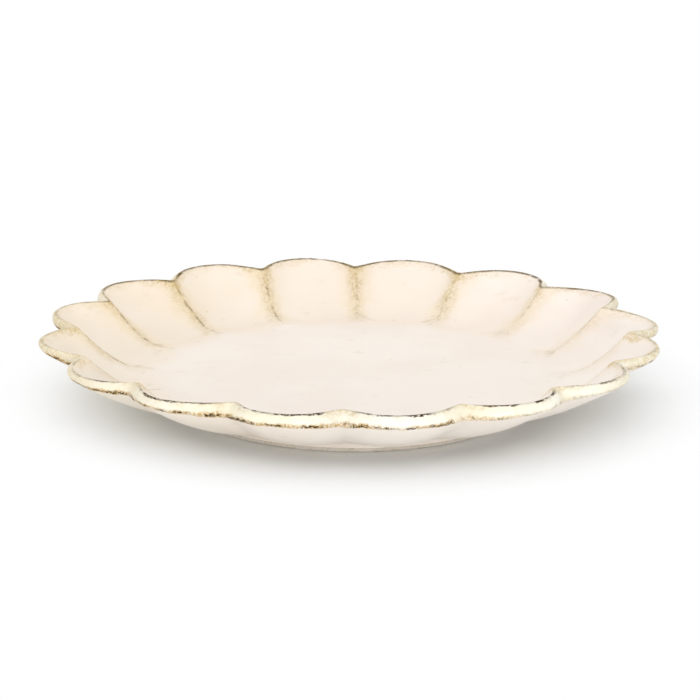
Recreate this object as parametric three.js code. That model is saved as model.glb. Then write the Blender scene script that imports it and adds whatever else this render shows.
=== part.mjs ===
// Flower-shaped stoneware plate: a pressed body with scooped petals round a flat well, a foot ring
// luted under it, and the fired coats on its face, lip, back and base.
// Millimetres, +Z up. The origin is the centre of the face that the foot stands on, and a notch
// between two petals lies on the +X axis.
import * as THREE from "three";

// Outline from above
const petalCount = 16;
const tipRadius = 95; // axis to a petal tip
const notchRadius = 85.3; // axis to a notch between two petals

// Face
const wellDepth = 13.1; // petal tip down to the flat of the well
const notchDrop = 0.7; // petal tip down to the notch
const scoopRadius = 59; // where the middle of a petal runs out into the well
const ridgeRadius = 64.5; // where the ridge between two petals runs out into the well
const turnRadius = 71.5; // where the plane of the well meets the line of the upper wall
const scoopDip = 2.6; // how far that meeting point lies under the well in the middle of a petal

// Lip
const lipHeight = 3.5; // upper edge down to lower edge
const lipNotch = 89; // axis to a notch on the lower edge, where the notches are shallower
const lipSpread = 1.7; // how far the lower edge stands out beyond the upper edge
const lipBulge = 0.8; // rise of the rounded end face above its chord

// Clay, coats and back
const floorThickness = 3.6; // clay under the well
const coatThickness = 0.45; // fired coat
const bulgeTurn = 73; // where the back turns up under the middle of a petal
const grooveTurn = 69.5; // where the back turns up under a ridge, in the groove between two petals
const grooveRise = 1.5; // how far that turn lies above the underside in a groove
const notchFill = 3; // size of the hollow curve that rounds the notches on the rim and the back
const shoulder = 9; // flat run of the underside outside the foot

// Foot ring
const footRadius = 50.5; // outer edge at the table
const footWidth = 4.8; // outer edge to inner edge at the table
const footHeight = 6.5; // table to the clay underside
const footFlare = 1.5; // how much wider each flank is at the top
const footRound = 0.8; // eased corners of the standing face
const bareHeight = 1.5; // table to the lower edge of the coats, which are wiped off the standing face

// Facets
const petalSteps = 8;
const wallSteps = 4;
const lipSteps = 3;
const easeSteps = 2;

const wellHeight = footHeight + floorThickness + coatThickness;
const rimHeight = wellHeight + wellDepth;
const coatBottom = footHeight - coatThickness;
const footTopOuter = footRadius + footFlare;
const footTopInner = footRadius - footWidth - footFlare;
const petalDepth = tipRadius - notchRadius;

const point = (r, z) => new THREE.Vector2(r, z);
const { lerp } = THREE.MathUtils;
const bend = (from, control, to, steps) =>
  new THREE.QuadraticBezierCurve(from, control, to).getPoints(steps);

// The flanks of the foot, each from the clay down to where it is eased into the standing face.
const outerFlank = [point(footTopOuter, footHeight), point(footRadius, footRound)];
const innerFlank = [point(footTopInner, footHeight), point(footRadius - footWidth, footRound)];

// The coat on a flank: where its surface leaves the underside, and where it ends above the table.
function flankCoat([top, low], side) {
  const along = low.clone().sub(top).normalize();
  const start = top.clone().add(point(-along.y, along.x).multiplyScalar(side * coatThickness));
  return [coatBottom, bareHeight].map((z) =>
    start.clone().addScaledVector(along, (z - start.y) / along.y),
  );
}

// How far a rounded petal stands out beyond its notch, where a creased one does by the given depth.
const roundedDepth = (depth) => Math.hypot(depth, notchFill) - notchFill;

// The coated surface in one radial plane, from the axis out over the face, round the lip, and down
// the back and the foot. The weight is 0 on a ridge and 1 in the middle of a petal. The face is
// creased on the ridges, and the rim and the back are rounded there. Each run starts where the last
// one ends.
function coatedRuns(weight) {
  const softened = roundedDepth(weight * petalDepth) / roundedDepth(petalDepth);
  const rimRadius = lerp(notchRadius, tipRadius, softened);
  const upper = point(rimRadius - lipSpread, rimHeight - notchDrop * (1 - softened));
  const lower = point(lerp(lipNotch, tipRadius, softened), upper.y - lipHeight);
  const outward = point(upper.y - lower.y, lower.x - upper.x).setLength(2 * lipBulge);
  const lipControl = upper.clone().lerp(lower, 0.5).add(outward);
  const wellEdge = point(lerp(ridgeRadius, scoopRadius, weight), wellHeight);
  const faceTurn = point(turnRadius, wellHeight - scoopDip * weight);
  const turnHeight = coatBottom + grooveRise * (1 - softened);
  const backTurn = point(lerp(grooveTurn, bulgeTurn, softened), turnHeight);
  const backEnd = point(footTopOuter + shoulder, coatBottom);
  return {
    face: [point(0, wellHeight), ...bend(wellEdge, faceTurn, upper, wallSteps)],
    lip: bend(upper, lipControl, lower, lipSteps),
    back: [...bend(lower, backTurn, backEnd, wallSteps), ...flankCoat(outerFlank, 1)],
  };
}

// The line at a steady distance under a coated surface, mitred at its corners.
function under(line, distance) {
  const normals = line.slice(1).map((p, i) => {
    const along = p.clone().sub(line[i]).normalize();
    return point(along.y, -along.x);
  });
  return line.map((p, i) => {
    const before = normals[Math.max(i - 1, 0)];
    const after = normals[Math.min(i, normals.length - 1)];
    const mitre = before.clone().add(after);
    return p.clone().addScaledVector(mitre, distance / (1 + before.dot(after)));
  });
}

// The outlines of every petalled piece in one radial plane, each closed on itself or on the axis.
function petalOutlines(weight) {
  const { face, lip, back } = coatedRuns(weight);
  const coat = [...face, ...lip.slice(1), ...back.slice(1)];
  const clay = under(coat, coatThickness);
  const lipStart = face.length - 1;
  const lipEnd = lipStart + lip.length - 1;
  const layer = (from, to) => [
    ...clay.slice(from, to + 1),
    ...coat.slice(from, to + 1).reverse(),
  ];
  const ring = (from, to) => [...layer(from, to), clay[from].clone()];
  return {
    clay_body: [...clay.slice(0, -1), point(0, footHeight)].reverse(),
    face_glaze: layer(0, lipStart),
    lip_edging: ring(lipStart, lipEnd),
    back_glaze: ring(lipEnd, coat.length - 1),
  };
}

// The luted foot: slightly wider at the top, with eased corners at the table.
function footOutline() {
  const inner = footRadius - footWidth;
  const outline = new THREE.Path();
  outline.moveTo(footTopInner, footHeight);
  outline.lineTo(inner, footRound);
  outline.quadraticCurveTo(inner, 0, inner + footRound, 0);
  outline.lineTo(footRadius - footRound, 0);
  outline.quadraticCurveTo(footRadius, 0, footRadius, footRound);
  outline.lineTo(footTopOuter, footHeight);
  outline.lineTo(footTopInner, footHeight);
  return outline.getPoints(easeSteps);
}

// The coat inside the foot, over the base and down the inner flank.
function baseOutline() {
  const [corner, end] = flankCoat(innerFlank, -1);
  const coat = [end, corner, point(0, coatBottom)];
  return [...coat.slice().reverse(), ...under(coat, coatThickness)];
}

// Stations round the plate: equal steps along each petal's circular arc. The weight runs from 0 at
// a notch to 1 at a tip, as the arc's distance from the axis does.
function petalStations() {
  const half = Math.PI / petalCount;
  const side = point(notchRadius * Math.cos(half), notchRadius * Math.sin(half));
  const centre = (tipRadius ** 2 - notchRadius ** 2) / (2 * (tipRadius - side.x));
  const arcRadius = tipRadius - centre;
  const sweep = Math.atan2(side.y, side.x - centre);
  const stations = [];
  for (let petal = 0; petal < petalCount; petal++) {
    for (let step = 0; step < petalSteps; step++) {
      const turn = sweep * ((2 * step) / petalSteps - 1);
      const x = centre + arcRadius * Math.cos(turn);
      const y = arcRadius * Math.sin(turn);
      stations.push({
        angle: (2 * petal + 1) * half + Math.atan2(y, x),
        weight: (Math.hypot(x, y) - notchRadius) / (tipRadius - notchRadius),
      });
    }
  }
  return stations;
}

// Carries an outline round the plate, one for each station. The lathe gives the closed mesh, and
// each of its points then goes to its place on its own station's outline.
function turned(stations, outlines) {
  const along = outlines[0].length;
  const geometry = new THREE.LatheGeometry(outlines[0], stations.length);
  const position = geometry.getAttribute("position");
  for (let i = 0; i <= stations.length; i++) {
    const { angle } = stations[i % stations.length];
    outlines[i % stations.length].forEach((p, j) => {
      position.setXYZ(i * along + j, p.x * Math.cos(angle), p.x * Math.sin(angle), p.y);
    });
  }
  geometry.setIndex(shortDiagonals(position, stations.length, along));
  geometry.computeVertexNormals();
  return geometry;
}

// Splits each four-sided facet along its shorter diagonal, so that two pieces with a common face
// split it alike and fit without overlap.
function shortDiagonals(position, around, along) {
  const at = (i) => new THREE.Vector3().fromBufferAttribute(position, i);
  const index = [];
  for (let i = 0; i < around; i++) {
    for (let j = 0; j < along - 1; j++) {
      const a = i * along + j;
      const b = a + along;
      const c = b + 1;
      const d = a + 1;
      if (at(b).distanceToSquared(at(d)) < at(a).distanceToSquared(at(c))) {
        index.push(a, b, d, c, d, b);
      } else {
        index.push(a, b, c, c, d, a);
      }
    }
  }
  return index;
}

const bareClay = new THREE.MeshStandardMaterial({ color: 0xcdc3b4, roughness: 0.85, metalness: 0 });
const blushGlaze = new THREE.MeshStandardMaterial({ color: 0xf6eae0, roughness: 0.4, metalness: 0 });
const ironEdge = new THREE.MeshStandardMaterial({ color: 0xe6d2ae, roughness: 0.45, metalness: 0 });

const plate = new THREE.Group();
plate.name = "flower_plate";

const stations = petalStations();
const petals = stations.map(({ weight }) => petalOutlines(weight));

function add(name, outlines, material) {
  const mesh = new THREE.Mesh(turned(stations, outlines), material);
  mesh.name = name;
  plate.add(mesh);
}

const petalled = (name) => petals.map((outlines) => outlines[name]);
const round = (outline) => stations.map(() => outline);
add("clay_body", petalled("clay_body"), bareClay);
add("foot_ring", round(footOutline()), bareClay);
add("face_glaze", petalled("face_glaze"), blushGlaze);
add("lip_edging", petalled("lip_edging"), ironEdge);
add("back_glaze", petalled("back_glaze"), blushGlaze);
add("base_glaze", round(baseOutline()), blushGlaze);

export default plate;
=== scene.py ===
import math
from types import SimpleNamespace

import bpy
import numpy as np
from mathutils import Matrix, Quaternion, Vector


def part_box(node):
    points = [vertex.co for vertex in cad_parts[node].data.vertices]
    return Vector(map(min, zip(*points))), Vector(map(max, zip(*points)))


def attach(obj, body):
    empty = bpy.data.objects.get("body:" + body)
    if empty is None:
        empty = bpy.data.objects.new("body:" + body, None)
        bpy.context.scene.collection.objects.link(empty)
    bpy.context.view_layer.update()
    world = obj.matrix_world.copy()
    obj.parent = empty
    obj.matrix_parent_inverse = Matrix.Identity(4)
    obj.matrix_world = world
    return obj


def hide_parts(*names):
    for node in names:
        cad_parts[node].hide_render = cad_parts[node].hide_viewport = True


# Flower-shaped stoneware plate: the part's six pieces drawn again as smooth, slightly uneven fired
# surfaces with their glazes, on a white table, seen by the photograph's camera
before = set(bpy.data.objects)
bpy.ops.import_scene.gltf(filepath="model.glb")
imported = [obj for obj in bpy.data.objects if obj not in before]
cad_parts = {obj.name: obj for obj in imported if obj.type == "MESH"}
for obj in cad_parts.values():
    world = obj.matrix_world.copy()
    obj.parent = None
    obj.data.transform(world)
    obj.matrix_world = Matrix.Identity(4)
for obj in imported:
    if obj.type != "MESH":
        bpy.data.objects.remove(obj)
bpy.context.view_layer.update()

MM = 0.001  # the frame is in metres, and the plate's sizes here are in millimetres

# Sizes read from the frame
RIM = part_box("face_glaze")[1].z / MM
FOOT_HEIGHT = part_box("foot_ring")[1].z / MM
FOOT_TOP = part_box("foot_ring")[1].x / MM
BARE_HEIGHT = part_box("back_glaze")[0].z / MM

# Petals, as in the part
PETALS = 16
TIP_RADIUS = 95.0  # axis to a petal tip
NOTCH_RADIUS = 85.3  # axis to a notch between two petals
NOTCH_DROP = 0.7  # petal tip down to the notch
NOTCH_FILL = 3.0  # size of the hollow curve that rounds the notches on the rim and the back
WELL_DEPTH = 13.1  # petal tip down to the flat of the well
SCOOP_RADIUS = 59.0  # where the middle of a petal runs out into the well
RIDGE_RADIUS = 64.5  # where the ridge between two petals runs out into the well
WALL_TURN = 71.5  # where the plane of the well meets the line of the upper wall
SCOOP_DIP = 2.6  # how far that meeting point lies under the well in the middle of a petal
LIP_HEIGHT = 3.5  # upper edge down to lower edge
LIP_NOTCH = 89.0  # axis to a notch on the lower edge
LIP_SPREAD = 1.7  # how far the lower edge stands out beyond the upper edge at a tip
LIP_BULGE = 0.8  # rise of the rounded lip above its chord
BULGE_TURN = 73.0  # where the back turns up under the middle of a petal
GROOVE_TURN = 69.5  # where the back turns up in the groove between two petals
GROOVE_RISE = 1.5  # how far that turn lies above the underside in a groove
SHOULDER = 9.0  # flat run of the underside outside the foot
COAT = 0.45  # thickness of a fired coat
WELL = RIM - WELL_DEPTH
UNDERSIDE = FOOT_HEIGHT - COAT

# Foot ring, as in the part
FOOT_WIDTH = 4.8
FOOT_FLARE = 1.5
FOOT_ROUND = 0.8
FOOT_RADIUS = FOOT_TOP - FOOT_FLARE
FOOT_INNER = FOOT_RADIUS - FOOT_WIDTH
OUTER_FLANK = ((FOOT_TOP, FOOT_HEIGHT), (FOOT_RADIUS, FOOT_ROUND))
INNER_FLANK = ((FOOT_INNER - FOOT_FLARE, FOOT_HEIGHT), (FOOT_INNER, FOOT_ROUND))

# Soft edges that the hand and the kiln leave: the size of the curve over a ridge, and how far from a
# corner its easing starts
RIDGE_ROUND = 0.9
SCOOP_ROUND = 3.5
UPPER_ROUND = 1.5
LOWER_ROUND = 1.0
FOOT_FILLET = 1.7

# A rim that isn't quite true, as waves of (turns round the plate, cosine share, sine share) in
# millimetres: the rim's rise, the petals' shift along the rim and their reach, how far the lip's lower
# edge stands out, the lip's height, and the rise of the back's turn
RIM_WARP = ((0, 0.5, 0.0), (1, 0.1, 0.35), (2, 0.35, -0.29), (3, 0.21, 0.10))
PETAL_SWAY = ((3, 0.32, -0.01), (4, 0.10, -0.30), (5, 0.13, 0.35), (7, -0.02, -0.44))
PETAL_SPREAD = ((2, 0.14, 0.53), (3, -0.09, -0.35))
LIP_TUCK = ((0, -0.6, 0.0), (2, -0.6, 0.0))
LIP_WOBBLE = ((0, -0.2, 0.0), (2, -0.6, -0.2), (23, 0.07, 0.05), (41, 0.06, -0.05), (67, -0.05, 0.05))
BACK_LIFT = ((0, 1.3, 0.0), (2, 1.3, 0.0))

# Quicker sway of the ridges to either side: its size, the radius that one radian of it takes, and how
# many times its start goes round the plate
RIDGE_SWAY = 0.35
RIDGE_SWAY_RUN = 2.6
RIDGE_SWAY_TURNS = 9

# Petals at the sides that slumped in the kiln: how far the tip of each, numbered from the +X axis,
# droops and leans out, in millimetres
PETAL_DROOP = {0: 2.0, 1: 1.2, 9: 1.0, 15: 0.8}
PETAL_LEAN = {0: 0.9, 1: 2.3, 9: -1.2, 15: -1.0}

# Rows along the section, in order from the axis
ROWS = {"well": 12, "scoop end": 6, "wall": 40, "upper edge": 12, "lip": 8, "lower edge": 12,
        "back": 36, "shoulder": 3, "foot fillet": 8, "flank": 6}
FIRST_ROW = dict(zip(ROWS, np.cumsum([0, *ROWS.values()]).tolist()))
LIP_START = FIRST_ROW["upper edge"] + ROWS["upper edge"] // 2
LIP_END = FIRST_ROW["lower edge"] + ROWS["lower edge"] // 2
LAST_ROW = sum(ROWS.values())
POLE_RADIUS = 4.0  # rows that close on the axis start this far from it
UNDER_RADIUS = 30.0  # the same for the row across the clay's hidden underside
HIDDEN_STEP = 4  # surfaces inside the plate keep one row in so many

# Stations round each petal, which crowd towards its notches by this share, and round the foot
PETAL_STEPS = 48
NOTCH_CROWDING = 0.7
FOOT_STEPS = 256

# Rows of the foot and of the coat inside it
FLANK_STEPS = 7
EASE_ROWS = 9
FILLET_ROWS = 8
BASE_STEPS = 10

# What the glazes are told at each point
LIP_RUN = 4.0  # the distance over the lip is given to them as if it were this, all round
PLAIN_MARK = (100.0, -100.0, -1.0)  # far from every ridge and edge


def wave(terms, angle):
    """Sum of a cos(k angle) + b sin(k angle) over terms (k, a, b)."""
    return sum(a * np.cos(k * angle) + b * np.sin(k * angle) for k, a, b in terms)


def between(low, high, share):
    """The value that lies this share of the way from low to high."""
    return low + (high - low) * share


def rounded(depth, fill):
    """A crease in a petal's depth, 0 to 1, drawn as a hyperbola: root of depth squared plus fill
    squared, less fill, scaled so that a whole petal is still 1."""
    share = fill / (TIP_RADIUS - NOTCH_RADIUS)
    return (np.hypot(depth, share) - share) / (math.hypot(1, share) - share)


def petal_stations():
    """Angles round the plate and the petal depth at each: 0 at a notch and 1 at a tip, as a circular
    arc through two notches and a tip runs. Stations crowd towards the notches by a sine."""
    half = math.pi / PETALS
    side_x, side_y = NOTCH_RADIUS * math.cos(half), NOTCH_RADIUS * math.sin(half)
    centre = (TIP_RADIUS ** 2 - NOTCH_RADIUS ** 2) / (2 * (TIP_RADIUS - side_x))
    sweep = math.atan2(side_y, side_x - centre)
    share = np.linspace(-1, 1, PETAL_STEPS, endpoint=False)
    turn = sweep * between(share, np.sin(share * math.pi / 2), NOTCH_CROWDING)
    x = centre + (TIP_RADIUS - centre) * np.cos(turn)
    y = (TIP_RADIUS - centre) * np.sin(turn)
    depth = (np.hypot(x, y) - NOTCH_RADIUS) / (TIP_RADIUS - NOTCH_RADIUS)
    middles = (2 * np.arange(PETALS) + 1) * half
    return (middles[:, None] + np.arctan2(y, x)).ravel(), np.tile(depth, PETALS)


ANGLE, DEPTH = petal_stations()


def by_petal(values):
    """One number for every station: the petal's own, or 0 where none is given."""
    return np.repeat([values.get(petal, 0.0) for petal in range(PETALS)], PETAL_STEPS)


def places(radius, height):
    """Points (station, radius and height), where either may be one number for every station."""
    return np.stack(np.broadcast_arrays(radius, height, ANGLE)[:2], 1).astype(float)


def bend(curve, share):
    """Rows of a quadratic curve at every station: its three points weighted by (1-t)^2, 2t(1-t) and
    t^2. The shares t are one row for all stations or one row each."""
    start, turn, end = (p[:, None] for p in curve)
    t = np.atleast_2d(share)[..., None]
    return (1 - t) ** 2 * start + 2 * t * (1 - t) * turn + t ** 2 * end


def line(start, end):
    """Straight run, as a quadratic curve whose turning point is half way."""
    return start, (start + end) / 2, end


def corner(before, after, reach):
    """Rounds the corner where two curves meet. Gives the share at which the first is left and the one
    at which the second is joined, both about `reach` from the corner, and the quadratic curve
    between."""
    leave = 1 - reach / (2 * np.linalg.norm(before[2] - before[1], axis=1))[:, None]
    join = reach / (2 * np.linalg.norm(after[1] - after[0], axis=1))[:, None]
    return leave, join, (bend(before, leave)[:, 0], before[2], bend(after, join)[:, 0])


def flank_coat(flank, side):
    """Coat on a flank of the foot, one coat's thickness square off the clay, on its outer side, 1, or
    its inner side, -1. Gives where it leaves the underside, where it ends, and its step off the clay."""
    top, low = np.array(flank)
    along = (low - top) / math.dist(low, top)
    off_clay = side * COAT * np.array((-along[1], along[0]))
    start = top + off_clay
    turn, end = (start + along * (z - start[1]) / along[1] for z in (UNDERSIDE, BARE_HEIGHT))
    return turn, end, off_clay


def section_runs():
    """Quadratic curves of the glazed section at every station, before their corners are eased: well,
    wall, lip, back, shoulder and the foot's flank. The lip's turning point lies off the middle of its
    chord by twice the bulge. The face is creased on the ridges, and the rim and the back are rounded
    there. Petals that slumped droop and lean by more towards their tips."""
    crease = rounded(DEPTH, RIDGE_ROUND)
    soft = rounded(DEPTH, NOTCH_FILL)
    lean = soft * by_petal(PETAL_LEAN)
    droop = soft * by_petal(PETAL_DROOP)
    rim_radius = between(NOTCH_RADIUS, TIP_RADIUS, soft) + lean
    upper = places(rim_radius - LIP_SPREAD, RIM - NOTCH_DROP * (1 - soft) - droop)
    lip_radius = between(LIP_NOTCH, TIP_RADIUS, soft) + wave(LIP_TUCK, ANGLE) + lean
    lower = places(lip_radius, upper[:, 1] - LIP_HEIGHT - wave(LIP_WOBBLE, ANGLE))
    chord = lower - upper
    outward = np.stack((-chord[:, 1], chord[:, 0]), 1) / np.linalg.norm(chord, axis=1)[:, None]
    lip_turn = (upper + lower) / 2 + 2 * LIP_BULGE * outward
    well_edge = places(between(RIDGE_RADIUS, SCOOP_RADIUS, crease), WELL)
    wall_turn = places(WALL_TURN, WELL - SCOOP_DIP * crease)
    turn_height = UNDERSIDE + GROOVE_RISE * (1 - soft) + wave(BACK_LIFT, ANGLE)
    back_turn = places(between(GROOVE_TURN, BULGE_TURN, soft), turn_height)
    back_end = places(FOOT_TOP + SHOULDER, UNDERSIDE)
    flank_start, flank_end = (places(*point) for point in flank_coat(OUTER_FLANK, 1)[:2])
    return (
        line(places(POLE_RADIUS, WELL), well_edge),
        (well_edge, wall_turn, upper),
        (upper, lip_turn, lower),
        (lower, back_turn, back_end),
        line(back_end, flank_start),
        line(flank_start, flank_end),
    )


def glazed_lines():
    """Glazed surface at every station, (station, row, radius and height): from the axis out over the
    well, up a petal's wall, round the lip, down the back and down the foot's flank, with eased corners
    between these runs."""
    well, wall, lip, back, shoulder, flank = section_runs()
    well_end, wall_start, scoop_end = corner(well, wall, SCOOP_ROUND)
    wall_end, lip_start, upper_edge = corner(wall, lip, UPPER_ROUND)
    lip_end, back_start, lower_edge = corner(lip, back, LOWER_ROUND)
    shoulder_end, flank_start, fillet = corner(shoulder, flank, FOOT_FILLET)
    zero, one = np.zeros_like(well_end), np.ones_like(well_end)
    runs = ((well, zero, well_end), (scoop_end, zero, one), (wall, wall_start, wall_end),
            (upper_edge, zero, one), (lip, lip_start, lip_end), (lower_edge, zero, one),
            (back, back_start, one), (shoulder, zero, shoulder_end), (fillet, zero, one),
            (flank, flank_start, one))
    parts = [bend(curve, between(start, end, np.linspace(0, 1, count, endpoint=False)))
             for (curve, start, end), count in zip(runs, ROWS.values())]
    return np.concatenate((*parts, flank[2][:, None]), 1)


def sunk(lines, depth):
    """Lines at a steady depth under others: each point goes along the sum of its two sides' normals,
    scaled by depth over one plus their dot product."""
    along = np.diff(lines, axis=1)
    along /= np.linalg.norm(along, axis=2, keepdims=True)
    inward = np.stack((along[..., 1], -along[..., 0]), 2)
    before = np.concatenate((inward[:, :1], inward), 1)
    after = np.concatenate((inward, inward[:, -1:]), 1)
    mitre = depth / (1 + np.sum(before * after, 2))
    return lines + (before + after) * mitre[..., None]


def set_round(lines):
    """Points (station, row, xyz) of lines set round the axis. Away from the foot the plate warps, and
    its petals sway along the rim and spread from the axis, by the slow waves above, and a quicker sine
    along the radius sways the ridges. All of it grows with the square of the way from the shoulder to
    the notches."""
    radius, height = lines[..., 0], lines[..., 1]
    angle = ANGLE[:, None]
    rise = np.clip((radius - FOOT_TOP - SHOULDER) / (NOTCH_RADIUS - FOOT_TOP - SHOULDER), 0, 1) ** 2
    ridge_sway = RIDGE_SWAY * np.sin(radius / RIDGE_SWAY_RUN + RIDGE_SWAY_TURNS * angle)
    turned = angle + rise * (wave(PETAL_SWAY, angle) + ridge_sway) / NOTCH_RADIUS
    radius = radius + rise * wave(PETAL_SPREAD, angle)
    height = height + rise * wave(RIM_WARP, angle)
    return np.stack((radius * np.cos(turned), radius * np.sin(turned), height), 2)


GLAZED_LINES = glazed_lines()
GLAZED = set_round(GLAZED_LINES)
CLAY = set_round(sunk(GLAZED_LINES, COAT))


def glaze_marks():
    """For every station and row: millimetres from the nearest ridge, which is the radius times the sine
    of the angle off it; millimetres along the section past the lip's upper edge, stretched over the lip
    to its given run; and the climb, by row: -1 in the well's middle, 0 at its edge, 1 on the lip's
    upper edge and 2 beyond it."""
    pitch = 2 * math.pi / PETALS
    off_ridge = np.abs((ANGLE / pitch + 0.5) % 1 - 0.5) * pitch
    from_ridge = np.hypot(GLAZED[..., 0], GLAZED[..., 1]) * np.sin(off_ridge)[:, None]
    lengths = np.linalg.norm(np.diff(GLAZED, axis=1), axis=2)
    run = np.concatenate((np.zeros((len(ANGLE), 1)), np.cumsum(lengths, 1)), 1)
    past_edge = run - run[:, LIP_START:LIP_START + 1]
    lip_run = past_edge[:, LIP_END:LIP_END + 1]
    past_edge = past_edge + (LIP_RUN - lip_run) * np.clip(past_edge / lip_run, 0, 1)
    knots = {0: -1, FIRST_ROW["scoop end"]: -0.05, FIRST_ROW["wall"]: 0.02, LIP_START: 1,
             FIRST_ROW["lip"]: 2}
    climb = np.interp(np.arange(LAST_ROW + 1), list(knots), list(knots.values()))
    return np.stack((from_ridge, past_edge, np.broadcast_to(climb, past_edge.shape)), 2)


MARKS = glaze_marks()


def closed_faces(stations, rows, ring):
    """Faces of a grid of points, counted along the rows of each station. Stations close round the
    axis. Rows close on themselves in a ring, or else on two poles, counted after the grid."""
    here = np.arange(stations * rows).reshape(stations, rows)
    ahead = np.roll(here, -1, 0)
    if ring:
        quads = np.stack((here, np.roll(here, -1, 1), np.roll(ahead, -1, 1), ahead), 2)
        return quads.reshape(-1, 4).tolist()
    quads = np.stack((here[:, :-1], here[:, 1:], ahead[:, 1:], ahead[:, :-1]), 2)
    pole = np.full(stations, stations * rows)
    first = np.stack((pole, here[:, 0], ahead[:, 0]), 1)
    last = np.stack((here[:, -1], pole + 1, ahead[:, -1]), 1)
    return quads.reshape(-1, 4).tolist() + first.tolist() + last.tolist()


def closed_piece(name, points, marks=None, ring=True, sharp=()):
    """Closed mesh of points (station, row, xyz) in millimetres, whose rows close in a ring or else on
    the axis, at the mean height of each end. An edge with both ends on one sharp row is crisp."""
    stations, rows = points.shape[:2]
    corners = points.reshape(-1, 3)
    if not ring:
        corners = np.vstack((corners, [(0, 0, points[:, end, 2].mean()) for end in (0, -1)]))
    mesh = bpy.data.meshes.new(name)
    mesh.from_pydata((corners * MM).tolist(), [], closed_faces(stations, rows, ring))
    mesh.shade_smooth()
    ends = np.empty(len(mesh.edges) * 2, np.int32)
    mesh.edges.foreach_get("vertices", ends)
    row = np.append(np.tile(np.arange(rows), stations), (-1, -1))[ends.reshape(-1, 2)]
    crisp = (row[:, 0] == row[:, 1]) & np.isin(row[:, 0], sharp)
    mesh.attributes.new("sharp_edge", "BOOLEAN", "EDGE").data.foreach_set("value", crisp)
    values = np.tile(np.float32(PLAIN_MARK), (len(corners), 1))
    if marks is not None:
        values[:stations * rows] = marks.reshape(-1, 3)
    attribute = mesh.attributes.new("glaze_marks", "FLOAT_VECTOR", "POINT")
    attribute.data.foreach_set("vector", values.ravel())
    piece = bpy.data.objects.new(name, mesh)
    bpy.context.scene.collection.objects.link(piece)
    return piece


def coat(name, start, end, ring):
    """Fired coat between two rows of the section: its glazed side, then fewer rows of its clay side,
    with crisp edges between the two."""
    shown = np.arange(start, end + 1)
    hidden = np.append(np.arange(start, end, HIDDEN_STEP), end)[::-1]
    points = np.concatenate((GLAZED[:, shown], CLAY[:, hidden]), 1)
    marks = np.concatenate((MARKS[:, shown], MARKS[:, hidden]), 1)
    sharp = [len(shown) - 1, len(shown)]
    if ring:
        sharp += [0, points.shape[1] - 1]
    return closed_piece(name, points, marks, ring, sharp)


def pressed_body(name):
    """The clay inside the coats: the same rows of their clay side, then flat over the foot."""
    runs = ((0, LIP_START), (LIP_START, LIP_END), (LIP_END, FIRST_ROW["foot fillet"]))
    kept = np.concatenate([np.arange(start, end, HIDDEN_STEP) for start, end in runs])
    under = [places(radius, FOOT_HEIGHT) for radius in (FOOT_TOP, UNDER_RADIUS)]
    points = np.concatenate((CLAY[:, kept], set_round(np.stack(under, 1))), 1)
    return closed_piece(name, points, ring=False)


def lathed(outline):
    """Points of (radius, height) rows turned about the axis: each radius times the cosine and the sine
    of every angle, at the row's height."""
    angle = np.linspace(0, 2 * math.pi, FOOT_STEPS, endpoint=False)[:, None]
    radius, height = np.asarray(outline, float).T
    return np.stack((radius * np.cos(angle), radius * np.sin(angle), height + 0 * angle), 2)


def arc_rows(start, turn, end, count):
    """Rows of one quadratic curve in a plane, both ends kept."""
    curve = [np.array([point], float) for point in (start, turn, end)]
    return bend(curve, np.linspace(0, 1, count))[0]


def foot(name):
    """Bare ring under the clay: flared flanks, eased corners and a flat standing face."""
    outer_top, outer_low = OUTER_FLANK
    inner_top, inner_low = INNER_FLANK
    outline = np.vstack((
        np.linspace(outer_top, outer_low, FLANK_STEPS, endpoint=False),
        arc_rows(outer_low, (FOOT_RADIUS, 0), (FOOT_RADIUS - FOOT_ROUND, 0), EASE_ROWS),
        arc_rows((FOOT_INNER + FOOT_ROUND, 0), (FOOT_INNER, 0), inner_low, EASE_ROWS),
        np.linspace(inner_low, inner_top, FLANK_STEPS + 1)[1:],
    ))
    return closed_piece(name, lathed(outline), sharp=(0, len(outline) - 1))


def base_coat(name):
    """Glaze inside the foot: over the base, round a fillet, down the inner flank to where it was
    wiped, and back up against the clay."""
    turn, end, off_clay = flank_coat(INNER_FLANK, -1)
    down = (end - turn) / math.dist(end, turn) * FOOT_FILLET
    fillet = arc_rows(turn - (FOOT_FILLET, 0), turn, turn + down, FILLET_ROWS)
    base = np.linspace((POLE_RADIUS, UNDERSIDE), fillet[0], BASE_STEPS, endpoint=False)
    hidden = (end - off_clay, INNER_FLANK[0], (POLE_RADIUS, FOOT_HEIGHT))
    outline = np.vstack((base, fillet, [end], hidden))[::-1]
    return closed_piece(name, lathed(outline), ring=False, sharp=(1, 2, 3))


def linear(colour):
    """sRGB hex to linear RGBA."""
    values = [int(colour[i:i + 2], 16) / 255 for i in (1, 3, 5)]
    return [v / 12.92 if v <= 0.04045 else ((v + 0.055) / 1.055) ** 2.4 for v in values] + [1.0]


def empty_tree(owner):
    """Node tree of a material or a world, with nothing in it yet."""
    owner.use_nodes = True
    owner.node_tree.nodes.clear()
    return owner.node_tree


def add(tree, kind, inputs=None, **settings):
    """Adds a node, sets its properties, and gives each input a value or a link from an output. A
    MapRange takes its value as 0, the range that it comes from as 1 and 2, and the one that it goes
    to, which is 0 to 1 unless given, as 3 and 4."""
    made = tree.nodes.new("ShaderNode" + kind)
    for name, value in settings.items():
        setattr(made, name, value)
    for name, value in (inputs or {}).items():
        if isinstance(value, bpy.types.NodeSocket):
            tree.links.new(value, made.inputs[name])
        else:
            made.inputs[name].default_value = value
    return made


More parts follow.
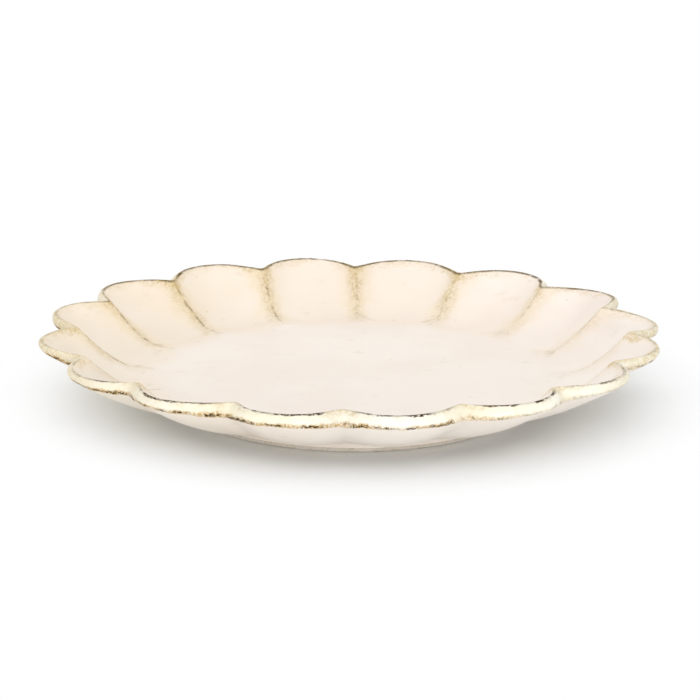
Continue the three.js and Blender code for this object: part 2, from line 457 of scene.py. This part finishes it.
def patches(tree, size, low, high, least=0.0):
    """Soft patches of about this many millimetres: noise below `low` gives `least`, above `high` 1."""
    place = add(tree, "TexCoord").outputs["Object"]
    noise = add(tree, "TexNoise", {"Vector": place, "Scale": 1 / (size * MM), "Detail": 2.0})
    return add(tree, "MapRange", {0: noise.outputs[0], 1: low, 2: high, 3: least},
               interpolation_type="SMOOTHSTEP").outputs[0]


def band(tree, distance, at, inner, outer, wander, size):
    """Band along a line: 1 within `inner` of where the distance is `at`, and 0 beyond `outer`. It
    wanders by up to `wander` to one side, over about `size` millimetres."""
    drift = patches(tree, size, 0.25, 0.75)
    drift = add(tree, "MapRange", {0: drift, 3: -at, 4: wander - at}).outputs[0]
    moved = add(tree, "Math", {0: distance, 1: drift}, operation="ADD").outputs[0]
    away = add(tree, "Math", {0: moved}, operation="ABSOLUTE").outputs[0]
    return add(tree, "MapRange", {0: away, 1: outer, 2: inner},
               interpolation_type="SMOOTHSTEP").outputs[0]


def overlap(tree, *masks):
    """Product of masks and plain shares."""
    shared = masks[0]
    for mask in masks[1:]:
        shared = add(tree, "Math", {0: shared, 1: mask}, operation="MULTIPLY").outputs[0]
    return shared


def either(tree, *masks):
    """The greatest of masks."""
    greatest = masks[0]
    for mask in masks[1:]:
        greatest = add(tree, "Math", {0: greatest, 1: mask}, operation="MAXIMUM").outputs[0]
    return greatest


def lay(tree, below, colour, *masks):
    """Lays a colour over what is below, where its masks overlap."""
    share = overlap(tree, *masks)
    return add(tree, "Mix", {0: share, 6: below, 7: linear(colour)}, data_type="RGBA").outputs[2]


def glaze_places(tree):
    """What the glaze's patterns go by, as outputs with names: the point's place, the three glaze marks,
    metres across to the right and behind the plate's middle, and masks for all that lies outside the
    well, for the far side, for the outer left and right sides, and for a fine mottle."""
    marks = add(tree, "Attribute", attribute_name="glaze_marks").outputs["Vector"]
    ridge, past_edge, climb = add(tree, "SeparateXYZ", {0: marks}).outputs
    place = add(tree, "TexCoord").outputs["Object"]
    across, behind, _ = add(tree, "SeparateXYZ", {0: place}).outputs
    petals = add(tree, "MapRange", {0: climb, 1: -0.10, 2: 0.04}, interpolation_type="SMOOTHSTEP")
    far = add(tree, "MapRange", {0: behind, 1: 0.0, 2: 50 * MM})
    off_middle = add(tree, "Math", {0: across}, operation="ABSOLUTE").outputs[0]
    aside = add(tree, "MapRange", {0: off_middle, 1: 70 * MM, 2: 94 * MM})
    return SimpleNamespace(
        place=place, ridge=ridge, past_edge=past_edge, climb=climb, across=across, behind=behind,
        petals=petals.outputs[0], far=far.outputs[0], aside=aside.outputs[0],
        mottle=patches(tree, 0.9, 0.38, 0.60, 0.3))


def kiln_flash_and_painted_shade(tree, colour, at):
    """Petals laid a little yellower and darker on the left, which is partly the glaze's own tone and
    partly painted shade and warm reflection, and a little warmer and darker on the far side, though not
    at its right, which is painted shade. Faint smudges lie all over."""
    # painted shade and warm reflection, partly the glaze's own tone: yellower, darker petals on the left
    left = add(tree, "MapRange", {0: at.across, 1: 10 * MM, 2: -90 * MM, 4: 0.55}).outputs[0]
    colour = lay(tree, colour, "#F1E2C4", left, at.petals, patches(tree, 15, 0.3, 0.6, 0.5))
    # painted shade: warmer, darker petals on the far side, less of it towards the right
    off_right = add(tree, "MapRange", {0: at.across, 1: 70 * MM, 2: 20 * MM, 4: 0.3}).outputs[0]
    colour = lay(tree, colour, "#F4E0C6", at.far, at.petals, off_right)
    return lay(tree, colour, "#DACDB6", patches(tree, 5, 0.62, 0.78), 0.25)


def ridge_runs(tree, colour, at):
    """Thin glaze along the ridges of the face: a pale halo, a mottled straw run, a broken olive-brown
    crest line, most of all on the left, and a faint tan hook where the ridge runs out into the well,
    which is partly the ridge's stain and partly painted shade along the scoop's end. On the right and in
    front the glaze lies thicker, and low on the wall it does too."""
    on_face = add(tree, "MapRange", {0: at.climb, 1: 1.3, 2: 1.0}).outputs[0]
    wall = overlap(tree, at.petals, on_face)
    high = add(tree, "MapRange", {0: at.climb, 1: 0.0, 2: 0.4, 3: 0.65, 4: 1.0}).outputs[0]
    off_right = add(tree, "MapRange", {0: at.across, 1: 85 * MM, 2: 0.0, 3: 0.4}).outputs[0]
    off_front = add(tree, "MapRange", {0: at.behind, 1: -20 * MM, 2: 30 * MM, 3: 0.5}).outputs[0]
    thin = overlap(tree, wall, high, off_right, off_front)
    halo = band(tree, at.ridge, 0, 0.5, 9.5, 4.0, 7)
    colour = lay(tree, colour, "#EFDBB2", halo, thin, patches(tree, 1.6, 0.3, 0.6, 0.55), 0.75)
    run = band(tree, at.ridge, 0, 0.4, 5.4, 2.4, 8)
    colour = lay(tree, colour, "#D2BB8D", run, thin, at.mottle, patches(tree, 7, 0.30, 0.54, 0.35))
    crest = band(tree, at.ridge, 0, 0.15, 1.0, 0.6, 1.5)
    bared = add(tree, "MapRange", {0: at.across, 1: 0.0, 2: -40 * MM, 3: 0.3, 4: 0.8}).outputs[0]
    colour = lay(tree, colour, "#8A6F42", crest, wall, patches(tree, 3.5, 0.38, 0.58, 0.15), bared)
    # tan hook at the scoop's end: partly the ridge's stain, partly painted shade where the scoop meets
    # the well
    hook_and_scoop_shade = band(tree, at.climb, 0.03, 0.0, 0.025, 0.03, 4)
    by_ridge = add(tree, "MapRange", {0: at.ridge, 1: 9.0, 2: 1.0}).outputs[0]
    return lay(tree, colour, "#BDA673", hook_and_scoop_shade, by_ridge, patches(tree, 5, 0.46, 0.62), 0.4)


def lip_wash(tree, colour, at):
    """Thin straw-coloured glaze beside the lip's upper edge, most of all at the notches, and a darker
    straw mottle over the lip at the sides and a little at the notches; at the sides it is partly painted
    shade on lips that face sideways."""
    by_notch = add(tree, "MapRange", {0: at.ridge, 1: 9.0, 2: 1.0, 3: 0.4, 4: 1.0}).outputs[0]
    by_edge = band(tree, at.past_edge, 0.3, 0.6, 3.4, 2.2, 4)
    clouds = patches(tree, 7, 0.30, 0.60, 0.1)
    colour = lay(tree, colour, "#D3BA84", by_edge, by_notch, at.mottle, clouds)
    notch = add(tree, "MapRange", {0: at.ridge, 1: 6.0, 2: 1.5, 4: 0.25}).outputs[0]
    over_edge = add(tree, "MapRange", {0: at.past_edge, 1: -1.5, 2: 0.5}).outputs[0]
    on_lip = add(tree, "MapRange", {0: at.past_edge, 1: LIP_RUN + 2, 2: LIP_RUN}).outputs[0]
    # darker straw mottle on the lip: at the outer sides it is partly painted shade
    mottle_and_side_shade = overlap(tree, either(tree, at.aside, notch), patches(tree, 1.2, 0.34, 0.6, 0.25))
    return lay(tree, colour, "#DAC595", mottle_and_side_shade, over_edge, on_lip, 0.9)


def upper_iron(tree, colour, at):
    """Iron lines on the lip's upper edge, drawn wide enough to show: a fine brown one, an olive one on
    the far side, and a broken dark one, which is weaker there. In front they fade towards the notches
    and the sides, and on the far side the last two lie further in. Also gives how much iron shows."""
    off_sides = add(tree, "MapRange", {0: at.aside, 2: 0.5, 3: 1.0, 4: 0.25}).outputs[0]
    off_notch = add(tree, "MapRange", {0: at.ridge, 1: 2.0, 2: 7.0, 3: 0.15}).outputs[0]
    in_front = add(tree, "MapRange", {0: at.far, 3: 1.0, 4: 0.3}).outputs[0]
    near = overlap(tree, off_sides, off_notch, in_front)
    beyond = overlap(tree, at.far, add(tree, "MapRange", {0: at.aside, 3: 1.0, 4: 0.5}).outputs[0])
    nicks = patches(tree, 0.7, 0.36, 0.52, 0.25)
    fine = band(tree, at.past_edge, 0.15, 0.1, 0.5, 0.3, 3)
    shown = either(tree, near, beyond)
    fine = overlap(tree, fine, patches(tree, 4, 0.40, 0.56, 0.3), nicks, shown, 0.9)
    colour = lay(tree, colour, "#5A421A", fine)
    inward = add(tree, "Math", {0: beyond, 1: 0.6, 2: at.past_edge}, operation="MULTIPLY_ADD").outputs[0]
    olive = band(tree, inward, 0.5, 0.3, 0.9, 0.3, 3)
    off_ridge = add(tree, "MapRange", {0: at.ridge, 1: 1.0, 2: 5.0, 3: 0.45}).outputs[0]
    olive = overlap(tree, olive, beyond, off_ridge, patches(tree, 5, 0.40, 0.54, 0.3), 0.7)
    colour = lay(tree, colour, "#6A5322", olive)
    dark = band(tree, inward, 0.6, 0.3, 0.8, 0.5, 2)
    shown = either(tree, near, overlap(tree, beyond, 0.4))
    dark = overlap(tree, dark, patches(tree, 8, 0.42, 0.52, 0.2), nicks, shown)
    colour = lay(tree, colour, "#3A2408", dark)
    return colour, either(tree, fine, olive, dark)


def lower_iron(tree, colour, at):
    """Iron lines on the lip's lower edge, drawn wide enough to show: a rusty one, and a broken dark one
    in it. Both are paler towards the right, and the dark one returns at the outer right side. Also
    gives how much dark iron shows."""
    lower_edge = LIP_RUN + 0.25
    off_right = add(tree, "MapRange", {0: at.across, 1: 55 * MM, 2: 25 * MM, 3: 0.35}).outputs[0]
    rusty = band(tree, at.past_edge, lower_edge, 0.3, 1.1, 0.6, 2.5)
    rusty = overlap(tree, rusty, patches(tree, 7, 0.30, 0.50, 0.35), off_right)
    colour = lay(tree, colour, "#C8A468", rusty, patches(tree, 0.5, 0.36, 0.56, 0.2))
    dark = band(tree, at.past_edge, lower_edge, 0.15, 0.6, 0.6, 1.5)
    grain = patches(tree, 0.45, 0.40, 0.52, 0.1)
    shown = either(tree, off_right, at.aside)
    dark = overlap(tree, dark, patches(tree, 5, 0.42, 0.54, 0.15), grain, shown)
    return lay(tree, colour, "#453214", dark), dark


def iron_specks(tree, colour, at):
    """Iron specks that came through the glaze, in some of the cells of a 4 mm pattern, drawn coarser
    than they are so that they show."""
    cells = add(tree, "TexVoronoi", {"Vector": at.place, "Scale": 1 / (4.0 * MM)}).outputs
    chosen = add(tree, "SeparateColor", {0: cells["Color"]}).outputs[0]
    rare = add(tree, "MapRange", {0: chosen, 1: 0.80, 2: 0.86}).outputs[0]
    dot = add(tree, "MapRange", {0: cells["Distance"], 1: 0.10, 2: 0.05}).outputs[0]
    return lay(tree, colour, "#B39A70", rare, dot, 0.4)


def broken_glaze(name, thick, thin):
    """Satin glaze over iron-bearing clay. Milky where it lies thick; it runs off convex edges in the
    kiln, so ridges turn straw-coloured and the lip's two edges show broken dark iron lines, which are
    dry and lie a little lower than the glaze."""
    material = bpy.data.materials.new(name)
    tree = empty_tree(material)
    at = glaze_places(tree)
    colour = lay(tree, linear(thick), thin, patches(tree, 26, 0.35, 0.65))
    colour = kiln_flash_and_painted_shade(tree, colour, at)
    colour = ridge_runs(tree, colour, at)
    colour = lip_wash(tree, colour, at)
    colour, above = upper_iron(tree, colour, at)
    colour, below = lower_iron(tree, colour, at)
    colour = iron_specks(tree, colour, at)
    iron = either(tree, above, below)
    swell = patches(tree, 8, 0.2, 0.8)
    peel = overlap(tree, patches(tree, 0.9, 0.2, 0.8), 0.2)
    relief = add(tree, "Math", {0: swell, 1: peel}, operation="ADD").outputs[0]
    relief = add(tree, "Math", {0: relief, 1: iron}, operation="SUBTRACT").outputs[0]
    bump = add(tree, "Bump", {"Height": relief, "Strength": 0.3, "Distance": 0.12 * MM})
    satin = add(tree, "MapRange", {0: patches(tree, 12, 0.3, 0.7), 3: 0.34, 4: 0.48}).outputs[0]
    rough = add(tree, "Math", {0: iron, 1: 0.25, 2: satin}, operation="MULTIPLY_ADD").outputs[0]
    sheen = add(tree, "MapRange", {0: iron, 2: 0.6, 3: 0.5, 4: 0.0}).outputs[0]
    shader = add(tree, "BsdfPrincipled", {
        "Base Color": colour, "Roughness": rough, "Specular IOR Level": sheen,
        "Normal": bump.outputs[0]})
    add(tree, "OutputMaterial", {0: shader.outputs[0]})
    return material


def bare_stoneware():
    """Unglazed fired clay: dry and pale grey-buff, with darker grit."""
    material = bpy.data.materials.new("bare fired stoneware")
    tree = empty_tree(material)
    cloud = patches(tree, 14, 0.3, 0.7)
    grit = patches(tree, 0.7, 0.54, 0.70)
    colour = lay(tree, linear("#D3C9BB"), "#DDD4C8", cloud)
    colour = lay(tree, colour, "#B3A58F", grit, 0.6)
    bump = add(tree, "Bump", {"Height": grit, "Strength": 0.5, "Distance": 0.15 * MM})
    rough = add(tree, "MapRange", {0: cloud, 3: 0.75, 4: 0.95}).outputs[0]
    shader = add(tree, "BsdfPrincipled", {
        "Base Color": colour, "Roughness": rough, "Normal": bump.outputs[0]})
    add(tree, "OutputMaterial", {0: shader.outputs[0]})
    return material


def dress(piece, node, material):
    """Gives a piece its finish and its place in the frame."""
    piece.data.materials.append(material)
    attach(piece, "root")
    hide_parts(node)


blush = broken_glaze("blush stoneware glaze", "#F8ECE1", "#FBF1E7")
cream = broken_glaze("cream lip glaze over iron clay", "#FAF3DC", "#FBF7E9")
clay = bare_stoneware()
dress(coat("face_coat", 0, LIP_START, False), "face_glaze", blush)
dress(coat("lip_coat", LIP_START, LIP_END, True), "lip_edging", cream)
dress(coat("back_coat", LIP_END, LAST_ROW, True), "back_glaze", blush)
dress(base_coat("base_coat"), "base_glaze", blush)
dress(pressed_body("pressed_body"), "clay_body", clay)
dress(foot("foot"), "foot_ring", clay)


def looked_at(tree):
    """1 for a ray that comes from the camera, a reflection or a clear piece, and 0 for light."""
    rays = add(tree, "LightPath").outputs
    return either(tree, rays["Is Camera Ray"], rays["Is Glossy Ray"], rays["Is Transmission Ray"])


def white_table():
    """White paper under the plate. It keeps the plate's shadow, and where it is looked at it runs out
    into plain white away from the plate, a little sooner in front than behind."""
    reach = 3.0
    shadow_middle = (0.003, 0.020, 0.0)
    paper_to, white_from = 0.070, 0.118
    mesh = bpy.data.meshes.new("table")
    mesh.from_pydata([(-reach, -reach, 0), (reach, -reach, 0), (reach, reach, 0), (-reach, reach, 0)],
                     [], [(0, 1, 2, 3)])
    table = bpy.data.objects.new("table", mesh)
    bpy.context.scene.collection.objects.link(table)
    material = bpy.data.materials.new("white table paper")
    tree = empty_tree(material)
    place = add(tree, "TexCoord").outputs["Object"]
    away = add(tree, "VectorMath", {0: place, 1: shadow_middle}, operation="SUBTRACT").outputs[0]
    away = add(tree, "VectorMath", {0: away}, operation="LENGTH").outputs["Value"]
    paper = add(tree, "BsdfDiffuse", {"Color": linear("#F5F8F8")}).outputs[0]
    white = add(tree, "Emission", {"Color": linear("#FFFFFF"), "Strength": 1.0}).outputs[0]
    share = add(tree, "MapRange", {0: away, 1: paper_to, 2: white_from},
                interpolation_type="SMOOTHSTEP").outputs[0]
    looked = overlap(tree, share, looked_at(tree))
    both = add(tree, "MixShader", {0: looked, 1: paper, 2: white}).outputs[0]
    add(tree, "OutputMaterial", {0: both})
    mesh.materials.append(material)


def studio_light():
    """Soft white surroundings, a wide panel overhead, and low panels in front and on the left. Each
    panel has a place and a size in metres and a power in watts, and faces the plate."""
    world = bpy.data.worlds.new("studio")
    bpy.context.scene.world = world
    tree = empty_tree(world)
    light_strength, seen_strength = 0.68, 1.0
    strength = add(tree, "MapRange", {0: looked_at(tree), 3: light_strength, 4: seen_strength})
    air = add(tree, "Background", {"Color": linear("#FFFFFF"), "Strength": strength.outputs[0]})
    add(tree, "OutputWorld", {0: air.outputs[0]})
    panels = (
        ("overhead panel", (0.0, 0.2, 0.9), 1.0, 2.7),
        ("low front panel", (0.25, -1.0, 0.11), 0.2, 3.5),
        ("left panel", (-0.9, -0.4, 0.3), 0.5, 1.0),
    )
    for name, stand, size, power in panels:
        lamp = bpy.data.lights.new(name, "AREA")
        lamp.size = size
        lamp.energy = power
        panel = bpy.data.objects.new(name, lamp)
        panel.location = stand
        panel.rotation_mode = "QUATERNION"
        panel.rotation_quaternion = (-Vector(stand)).to_track_quat("-Z", "Y")
        bpy.context.scene.collection.objects.link(panel)


def photo_camera():
    """Camera at the photograph's angle, from its notches: the direction and distance of the rim's
    middle, that middle's place in the square picture, and a slight roll."""
    elevation, azimuth, roll = math.radians(14.69), math.radians(1.23), math.radians(0.47)
    distance = 0.970
    picture_px = 700
    focal_px = 3198
    right_px, up_px = 2.1, 18.4
    sensor_mm = 36
    outward = Vector((math.sin(azimuth) * math.cos(elevation),
                      -math.cos(azimuth) * math.cos(elevation), math.sin(elevation)))
    data = bpy.data.cameras.new("camera")
    data.sensor_width = sensor_mm
    data.lens = sensor_mm * focal_px / picture_px
    camera = bpy.data.objects.new("camera", data)
    camera.location = Vector((0, 0, (RIM - NOTCH_DROP) * MM)) + outward * distance
    camera.rotation_mode = "QUATERNION"
    aside = Quaternion((0, 1, 0), right_px / focal_px)
    down = Quaternion((1, 0, 0), -up_px / focal_px)
    facing = (-outward).to_track_quat("-Z", "Y")
    camera.rotation_quaternion = facing @ down @ aside @ Quaternion((0, 0, 1), roll)
    bpy.context.scene.collection.objects.link(camera)
    bpy.context.scene.camera = camera


white_table()
studio_light()
photo_camera()
bpy.context.scene.view_settings.view_transform = "Standard"
